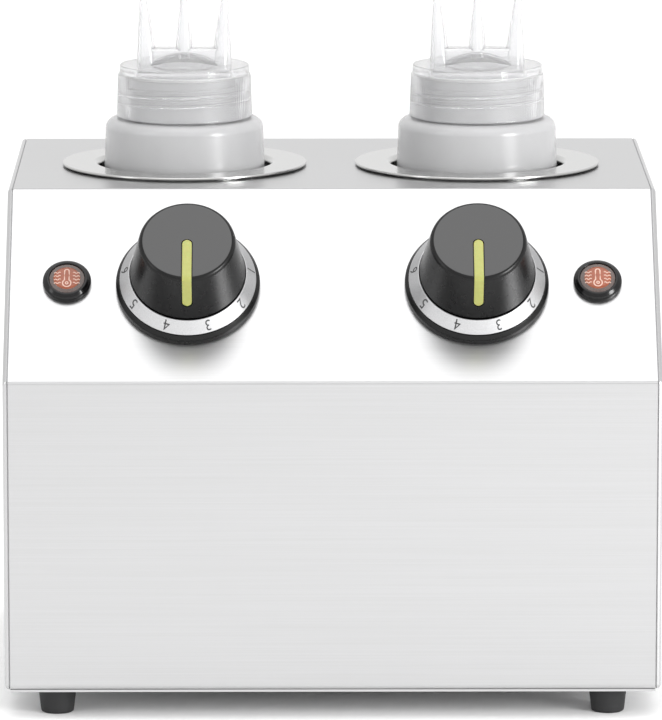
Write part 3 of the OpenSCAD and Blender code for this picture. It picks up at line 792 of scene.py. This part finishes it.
HUB_R = 7
SPINDLE_BORE_R = 3.02
SPINDLE_BORE_TOP = 24
KNOB_CEILING = 29.3
knob_profile = [
    (0, KNOB_H, 0),
    (KNOB_TOP_R + 0.2, KNOB_H, 2.2),
    (KNOB_BASE_R, KNOB_LOW, 0.5),
    (21.6, KNOB_LOW, 0.3),
    (17.8, KNOB_CEILING, 1),
    (HUB_R, KNOB_CEILING, 0.5),
    (HUB_R, 3, 0.3),
    (SPINDLE_BORE_R, 3, 0.1),
    (SPINDLE_BORE_R, SPINDLE_BORE_TOP, 0.1),
    (0, SPINDLE_BORE_TOP, 0),
]


def pointer_strip(width, low, high, end_h, start, crown=0.0):
    """A bar from near the face's centre over the rim and down the side, with round ends."""
    slope = Vector((KNOB_BASE_R - KNOB_TOP_R, KNOB_LOW - KNOB_H)).normalized()
    slope_out = Vector((-slope.y, slope.x))
    face_out = Vector((0, 1))
    corner = [(0, KNOB_H, 0), (KNOB_TOP_R, KNOB_H, 2), (KNOB_BASE_R, KNOB_LOW, 0)]
    rim = [Vector(p) for p in rounded(corner, steps=8)[1:-1]]
    down = (KNOB_H - end_h) / -slope.y
    foot = Vector((KNOB_TOP_R, KNOB_H)) + slope * down
    half = width / 2
    quarter = [math.pi / 2 * k / 5 for k in range(6)]

    # Each station is a point of the bar's middle line, the way out there and the half width
    stations = []
    for angle in quarter:
        spot = Vector((start - half * math.cos(angle), KNOB_H))
        stations.append((spot, face_out, half * math.sin(angle)))
    for k, spot in enumerate(rim):
        out = face_out.lerp(slope_out, k / (len(rim) - 1)).normalized()
        stations.append((spot, out, half))
    for angle in quarter:
        spot = foot + slope * half * math.sin(angle)
        stations.append((spot, slope_out, half * math.cos(angle)))

    crowned = [(-1, high - crown), (-0.8, high), (0, high), (0.8, high), (1, high - crown)]
    sections = []
    for spot, out, span in stations:
        ring = []
        for share, lift in [(-1, low), *crowned, (1, low)]:
            point = spot + out * lift
            ring.append((share * max(span, 0.02), -point.x, point.y))
        sections.append(ring)
    return loft(sections)


for name, side in SIDES.items():
    place = on_panel(side * knob_point.x)
    piece(
        f"dial_skirt_{name}",
        moved(lathe(rounded(skirt_profile, closed=True), closed=True), place),
        phenolic,
        "housing",
        (f"skirt_{name}",),
    )
    piece(
        f"dial_ring_{name}",
        moved(lathe(rounded(ring_profile, closed=True, steps=3), closed=True), place),
        anodised_ring,
        "housing",
        (f"dial_{name}",),
    )
    numbers = joined(*[number_on_ring(text, degrees) for text, degrees in NUMBERS.items()])
    piece(
        f"dial_numbers_{name}",
        moved(numbers, place),
        black_ink,
        "housing",
    )
    knob = piece(
        f"knob_shell_{name}",
        moved(lathe(rounded(knob_profile)), place),
        phenolic,
        f"knob_{name}",
        (f"knob_{name}",),
        cutter=moved(pointer_strip(4.8, -1.05, 2.5, 19.1, 1.7), place),  # the pointer's slot
    )
    # The knob's top face takes the satin copy, which carries painted light: a lighter colour than the sides'
    face_z = (place @ Vector((0, 0, KNOB_H - 0.05))).dot(OUT_OF_PANEL) * MM
    knob.data.materials.append(satin_phenolic_painted_light)
    for face in knob.data.polygons:
        if face.normal.dot(OUT_OF_PANEL) > 0.98 and face.center.dot(OUT_OF_PANEL) > face_z:
            face.material_index = 1
    piece(
        f"pointer_bar_{name}",
        moved(pointer_strip(3.9, -1.0, 0.25, 19.4, 1.8, crown=0.12), place),
        lime_acrylic,
        f"knob_{name}",
        (f"pointer_{name}",),
    )

# ---- Lamps ----

LENS_R = 7.4
LENS_CROWN_R = 36.0
LENS_TOP = 4.0
BEZEL_R = 10.2
BEZEL_H = 3.7
BARREL_R = 6.4
BARREL_BORE_R = 5.4
BARREL_LOW = -16
SEAT_H = 1.2
bezel_profile = [
    (BARREL_BORE_R, BARREL_LOW, 0),
    (BARREL_R, BARREL_LOW, 0),
    (BARREL_R, 0, 0.1),
    (BEZEL_R, 0, 0.2),
    (BEZEL_R, 2.3, 2.0),
    (8.4, BEZEL_H, 0.8),
    (LENS_R + 0.1, BEZEL_H, 0.3),
    (LENS_R + 0.1, SEAT_H, 0.1),
    (BARREL_BORE_R, SEAT_H, 0),
]


def lens_height(r):
    """Height of the lens's crown at a distance from its middle."""
    return LENS_TOP - LENS_CROWN_R + math.sqrt(LENS_CROWN_R**2 - r**2)


def on_lens(path):
    """Lays a flat path on the lens's crown."""
    return [Vector((x, y, lens_height(math.hypot(x, y)) + INK_LIFT)) for x, y in path]


LENS_STEM_R = 5.3
LENS_LOW = SEAT_H + 0.05
lens_profile = [
    (0, -2, 0),
    (LENS_STEM_R, -2, 0.2),
    (LENS_STEM_R, LENS_LOW, 0),
    (LENS_R, LENS_LOW, 0.1),
    (LENS_R, lens_height(LENS_R), 0.2),
    *[(r, lens_height(r), 0) for r in (7.2, 6, 5, 4, 3, 2, 1)],
    (0, LENS_TOP, 0),
]
FILTER_R = 5.6
FILTER_PROUD = 0.02
filter_profile = [
    *[(r, lens_height(r) + FILTER_PROUD) for r in (0, 1.5, 3, 4.5, FILTER_R)],
    (FILTER_R + 0.05, lens_height(FILTER_R) - FILTER_PROUD),
    (0, LENS_TOP - 0.2),
]

# A thermometer: a bulb, a stem with a round top, and waves of warmth on both sides
STEM_HALF = 0.95
STEM_TOP = 3.4
BULB_R = 1.75
BULB_Y = -2.7
MERCURY_R = 0.55
LINE_FLAT = 0.25
WAVE_FROM = 2.6
WAVE_LONG = 2.8
WAVE_HIGH = 0.28
WAVE_GAP = 1.75
bulb_gap = math.asin(STEM_HALF / BULB_R)
thermometer = []
for k in range(25):
    angle = math.pi / 2 + bulb_gap + (2 * math.pi - 2 * bulb_gap) * k / 24
    thermometer.append((BULB_R * math.cos(angle), BULB_Y + BULB_R * math.sin(angle)))
for k in range(13):
    angle = math.pi * k / 12
    thermometer.append((STEM_HALF * math.cos(angle), STEM_TOP + STEM_HALF * math.sin(angle)))
mercury = []
for k in range(12):
    angle = k * math.pi / 6
    mercury.append((MERCURY_R * math.cos(angle), BULB_Y + MERCURY_R * math.sin(angle)))
marks = [
    tube(on_lens(thermometer), 0.27, LINE_FLAT, closed=True),
    tube(on_lens(mercury), 0.25, LINE_FLAT, closed=True),
]
for way in (-1, 1):
    for row in range(4):
        middle = BULB_Y + 0.1 + WAVE_GAP * row
        wave = []
        for k in range(17):
            x = WAVE_FROM + WAVE_LONG * k / 16
            wave.append((way * x, middle + WAVE_HIGH * math.sin(2 * math.pi * k / 10)))
        marks.append(tube(on_lens(wave), 0.2, LINE_FLAT))

for name, side in SIDES.items():
    place = on_lamp(side)
    piece(
        f"lamp_surround_{name}",
        moved(lathe(rounded(bezel_profile, closed=True, steps=8), 96, closed=True), place),
        gloss_abs,
        "housing",
        (f"lamp_bezel_{name}",),
    )
    piece(
        f"lamp_cover_{name}",
        moved(lathe(rounded(lens_profile), 96), place),
        smoked_lens,
        "housing",
        (f"lamp_lens_{name}",),
    )
    piece(
        f"lamp_filter_{name}",
        moved(lathe(filter_profile, 96), place),
        amber_filter,
        "housing",
    )
    piece(
        f"lamp_mark_{name}",
        moved(joined(*marks), place),
        lens_print,
        "housing",
    )

# ---- Bottles and caps ----

NECK_R = 25.5
WALL = 1.2
THREAD_PITCH = 4.0
THREAD_TURNS = 2.0
TAPER = 0.6  # how much the bottle narrows above the housing's top
BELT_Z = TOP_Z + 3
BOTTLE_Z = bottle_low.z
bottle_profile = [
    (0, BOTTLE_Z, 0),
    (BOTTLE_R, BOTTLE_Z, 3),
    (BOTTLE_R, BELT_Z, 2),
    (BOTTLE_R - TAPER, SHOULDER_Z, 4.5),
    (NECK_R, SHOULDER_Z, 0.8),
    (NECK_R, RIM_Z, 0.5),
    (NECK_R - 1.5, RIM_Z, 0.5),
    (NECK_R - 1.5, SHOULDER_Z - WALL, 1.5),
    (BOTTLE_R - TAPER - WALL, SHOULDER_Z - WALL, 3.3),
    (BOTTLE_R - WALL, BELT_Z, 2),
    (BOTTLE_R - WALL, BOTTLE_Z + WALL, 1.8),
    (0, BOTTLE_Z + WALL, 0),
]

CAP_Z = cap_low.z
CAP_STEP_Z = CAP_Z + 18.2
CAP_TOP_Z = CAP_Z + 22.3
CAP_INNER_R = NECK_R + 1.5
DOME_R = 15.4
DOME_H = 4.9
RIBS = 120
RIB_DEPTH = 0.14
POINTS_PER_RIB = 5
LINER_Z = SEAL_Z + 0.3
FIN_Z = CAP_TOP_Z + 7.2
FIN_HALF = 16.4
FIN_T = 3.6
DUCT_T = 2
NOZZLE_PITCH = 17.6
NOZZLE_H = cap_high.z - FIN_Z
NOZZLE_ROOT = 7.4
NOZZLE_LEAN = math.radians(3.3)
TIP_R = 1.6
NOZZLE_R = 3.8  # where a nozzle leaves the fin
ROOT_R = NOZZLE_R + (NOZZLE_R - TIP_R) / 20.9 * NOZZLE_ROOT
dome_ball = (DOME_R**2 + DOME_H**2) / (2 * DOME_H)

cap_profile = [
    (0, LINER_Z, 0),
    (CAP_INNER_R, LINER_Z, 0.5),
    (CAP_INNER_R, CAP_Z, 0.3),
    (CAP_R, CAP_Z, 0.4),
    (CAP_R - 0.35, CAP_Z + 9, 0),
    (CAP_R - 0.7, CAP_STEP_Z, 0.25),
    (28.15, CAP_STEP_Z, 0.15),
    (27.95, CAP_TOP_Z, 0.5),
    (DOME_R, CAP_TOP_Z, 0),
]
dome_middle = CAP_TOP_Z + DOME_H - dome_ball
dome_steps = [DOME_R * (1 - k / 12) for k in range(13)]
dome = [(r, dome_middle + math.sqrt(dome_ball**2 - r**2)) for r in dome_steps]
cap_line = rounded(cap_profile, steps=4)[:-1] + dome


def ribbed(shape):
    """Presses the fine upright grip ribs into the cap's outer wall, below the step."""
    points = []
    for p in shape[0]:
        wall = math.hypot(p.x, p.y) > CAP_INNER_R + 1.2
        if wall and CAP_Z + 0.3 < p.z < CAP_STEP_Z - 0.1:
            wave = 0.5 - 0.5 * math.cos(RIBS * math.atan2(p.y, p.x))
            share = 1 - RIB_DEPTH * wave / math.hypot(p.x, p.y)
            p = Vector((p.x * share, p.y * share, p.z))
        points.append(p)
    return points, shape[1]


def stadium(half_t, z):
    """The fin's outline, a straight bar with round ends."""
    ring = []
    for end in (1, -1):
        for k in range(13):
            angle = math.pi * (k / 12 - 0.5)
            x = end * (FIN_HALF - FIN_T + half_t * math.cos(angle))
            ring.append((x, end * half_t * math.sin(angle), z))
    return ring


fin_steps = [
    (FIN_T, CAP_TOP_Z - 0.5),
    (FIN_T, FIN_Z - 0.6),
    (FIN_T - 0.08, FIN_Z - 0.3),
    (FIN_T - 0.3, FIN_Z - 0.08),
    (FIN_T - 0.6, FIN_Z),
]
duct_steps = [(DUCT_T, SEAL_Z), (DUCT_T, FIN_Z - 1.2)]
nozzle_profile = [
    (0, -NOZZLE_ROOT, 0),
    (ROOT_R, -NOZZLE_ROOT, 0),
    (TIP_R, NOZZLE_H, 0.25),
    (0, NOZZLE_H, 0),
]
bore_profile = [
    (0, -NOZZLE_ROOT),
    (ROOT_R - 1.4, -NOZZLE_ROOT),
    (TIP_R - 0.7, NOZZLE_H + 1),
    (0, NOZZLE_H + 1),
]


def nozzle_place(step):
    """A nozzle's axis, leaning outward by its place in the row of three."""
    lean_in = (NOZZLE_H + NOZZLE_ROOT) * math.tan(NOZZLE_LEAN)
    root = Matrix.Translation((step * (NOZZLE_PITCH - lean_in), 0, FIN_Z - NOZZLE_ROOT))
    lean = Matrix.Rotation(step * NOZZLE_LEAN, 4, "Y")
    return root @ lean @ Matrix.Translation((0, 0, NOZZLE_ROOT))


neck_thread = thread(NECK_R - 0.2, NECK_R + 1, SHOULDER_Z + 7, THREAD_PITCH, THREAD_TURNS)
bottle_shape = melted(lathe(rounded(bottle_profile)), [neck_thread])
cap_thread = thread(
    CAP_INNER_R + 0.2, CAP_INNER_R - 1, SHOULDER_Z + 5, THREAD_PITCH, THREAD_TURNS
)
nozzles = [moved(lathe(rounded(nozzle_profile), 48), nozzle_place(i)) for i in (-1, 0, 1)]
bores = [moved(lathe(bore_profile, 32), nozzle_place(i)) for i in (-1, 0, 1)]
cap_shape = melted(
    ribbed(lathe(cap_line, RIBS * POINTS_PER_RIB)),
    [cap_thread, loft([stadium(half_t, z) for half_t, z in fin_steps]), *nozzles],
    [loft([stadium(half_t, z) for half_t, z in duct_steps]), *bores],
)
for name, side in SIDES.items():
    piece(
        f"squeeze_bottle_{name}",
        moved(bottle_shape, on_well(side)),
        bottle_plastic,
        f"bottle_{name}",
        (f"bottle_{name}",),
    )
    piece(
        f"nozzle_cap_{name}",
        moved(cap_shape, on_well(side)),
        cap_plastic,
        f"cap_{name}",
        (f"cap_{name}",),
    )

# ---- Floor, light and camera ----

FLOOR_HALF = 8000
floor_corners = [
    Vector((x * FLOOR_HALF, y * FLOOR_HALF, 0)) for x, y in ((-1, -1), (1, -1), (1, 1), (-1, 1))
]
# Studio floor of matt white paper: even, with no gloss, so that only soft shadows show
white_paper = finish("matt_white_paper", ("fafafa", "fcfcfc"), (0.8, 0.9), (2, 2, 2), 0.0)
floor = new_object("studio_floor", (floor_corners, [(0, 1, 2, 3)]), white_paper)

world = bpy.data.worlds.new("studio")
world.use_nodes = True
sky = world.node_tree.nodes["Background"]
sky.inputs["Color"].default_value = (1, 1, 1, 1)
sky.inputs["Strength"].default_value = 1.06
bpy.context.scene.world = world


def soft_light(name, place, aim, size, power):
    """A rectangular soft box, with its place, aim and size in metres and its power in watts."""
    data = bpy.data.lights.new(name, "AREA")
    data.shape = "RECTANGLE"
    data.size, data.size_y = size
    data.energy = power
    lamp = bpy.data.objects.new(name, data)
    lamp.location = place
    lamp.rotation_euler = (Vector(aim) - Vector(place)).to_track_quat("-Z", "Y").to_euler()
    bpy.context.scene.collection.objects.link(lamp)


soft_light("top_box", (0, -0.25, 1.9), (0, 0, 0.1), (1.6, 1.6), 10.5)
soft_light("right_box", (1.5, -1.3, 0.6), (0, -0.05, 0.15), (0.5, 0.8), 26)
soft_light("left_box", (-1.8, -1.2, 1.1), (0, 0, 0.15), (0.5, 1.2), 5)
soft_light("front_box", (0, -2.6, 1.7), (0, -0.4, 0), (2.0, 0.8), 4)

CAMERA_BACK = 2700  # in front of the lower front
CAMERA_X = -18
CAMERA_Z = 626
CAMERA_DOWN = 9.937  # degrees below level
CAMERA_AIM_X = 17.2  # how far it turns to the right over CAMERA_BACK

camera_data = bpy.data.cameras.new("camera")
camera_data.lens = 330
camera_data.sensor_width = 36
camera_data.clip_end = 60
camera = bpy.data.objects.new("camera", camera_data)
camera.location = Vector((CAMERA_X, FRONT_Y - CAMERA_BACK, CAMERA_Z)) * MM
yaw = -math.atan(CAMERA_AIM_X / CAMERA_BACK)
camera.rotation_euler = (math.radians(90 - CAMERA_DOWN), 0, yaw)
bpy.context.scene.collection.objects.link(camera)
bpy.context.scene.camera = camera
bpy.context.scene.view_settings.view_transform = "Standard"
